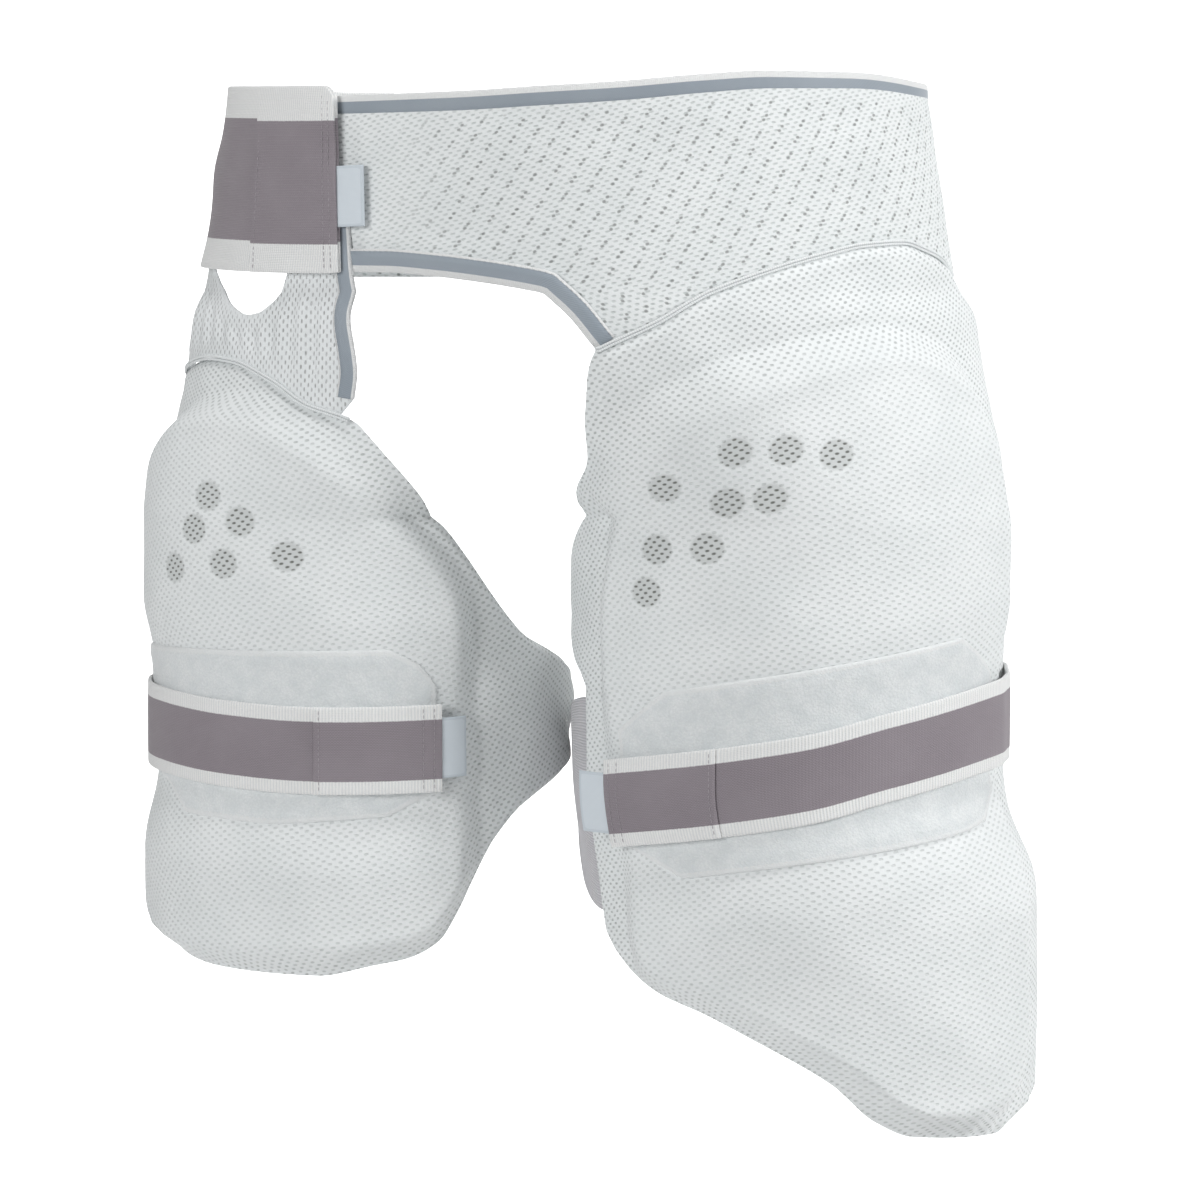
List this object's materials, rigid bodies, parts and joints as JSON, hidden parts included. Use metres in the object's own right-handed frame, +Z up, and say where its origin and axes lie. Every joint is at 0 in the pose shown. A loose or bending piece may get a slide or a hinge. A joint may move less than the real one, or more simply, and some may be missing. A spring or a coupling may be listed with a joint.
{
  "type": "cricket thigh guard",
  "caption": "Cricket thigh guard set in worn form: mesh waist belt with elastic closure, a large padded outer guard and a smaller inner guard, each with an elastic leg strap.",
  "frame": {"origin": "the middle of the waist that the belt goes round, at the belt's mid height", "axes": "+Z up the wearer's body, -Y the wearer's front, +X the wearer's left"},
  "size_m": [0.4147, 0.2439, 0.4708],
  "materials": {
    "pad_mesh": "white knitted spacer mesh over padding, matt",
    "belt_mesh": "white open mesh, matt",
    "yoke_mesh": "limp white mesh with large holes",
    "grey_binding": "bluish grey satin woven tape with white edges",
    "striped_elastic": "woven elastic, mauve grey with white ribbed edges",
    "loop_pile": "fuzzy pale grey loop pile",
    "ribbed_gusset": "mauve grey elastic with fine ribs across",
    "label_cloth": "pale blue-white woven label, blank"
  },
  "bodies": {
    "root": {"waist_belt": "belt_mesh", "belt_top_binding": "grey_binding", "belt_lower_binding": "grey_binding", "main_guard": "pad_mesh", "main_guard_inner_wing": "pad_mesh", "main_guard_outer_wing": "pad_mesh", "inner_guard": "pad_mesh", "inner_guard_wing": "pad_mesh", "main_piping": "pad_mesh", "inner_piping": "pad_mesh", "yoke": "yoke_mesh", "yoke_binding": "grey_binding", "waist_elastic": "striped_elastic", "waist_elastic_fold": "striped_elastic", "main_loop_patch": "loop_pile", "inner_loop_patch": "loop_pile", "main_strap": "striped_elastic", "main_strap_fold": "striped_elastic", "inner_strap": "striped_elastic", "inner_strap_fold": "striped_elastic", "main_gusset": "ribbed_gusset", "waist_tab": "label_cloth", "main_tab": "label_cloth", "inner_tab": "label_cloth"}
  },
  "joints": []
}
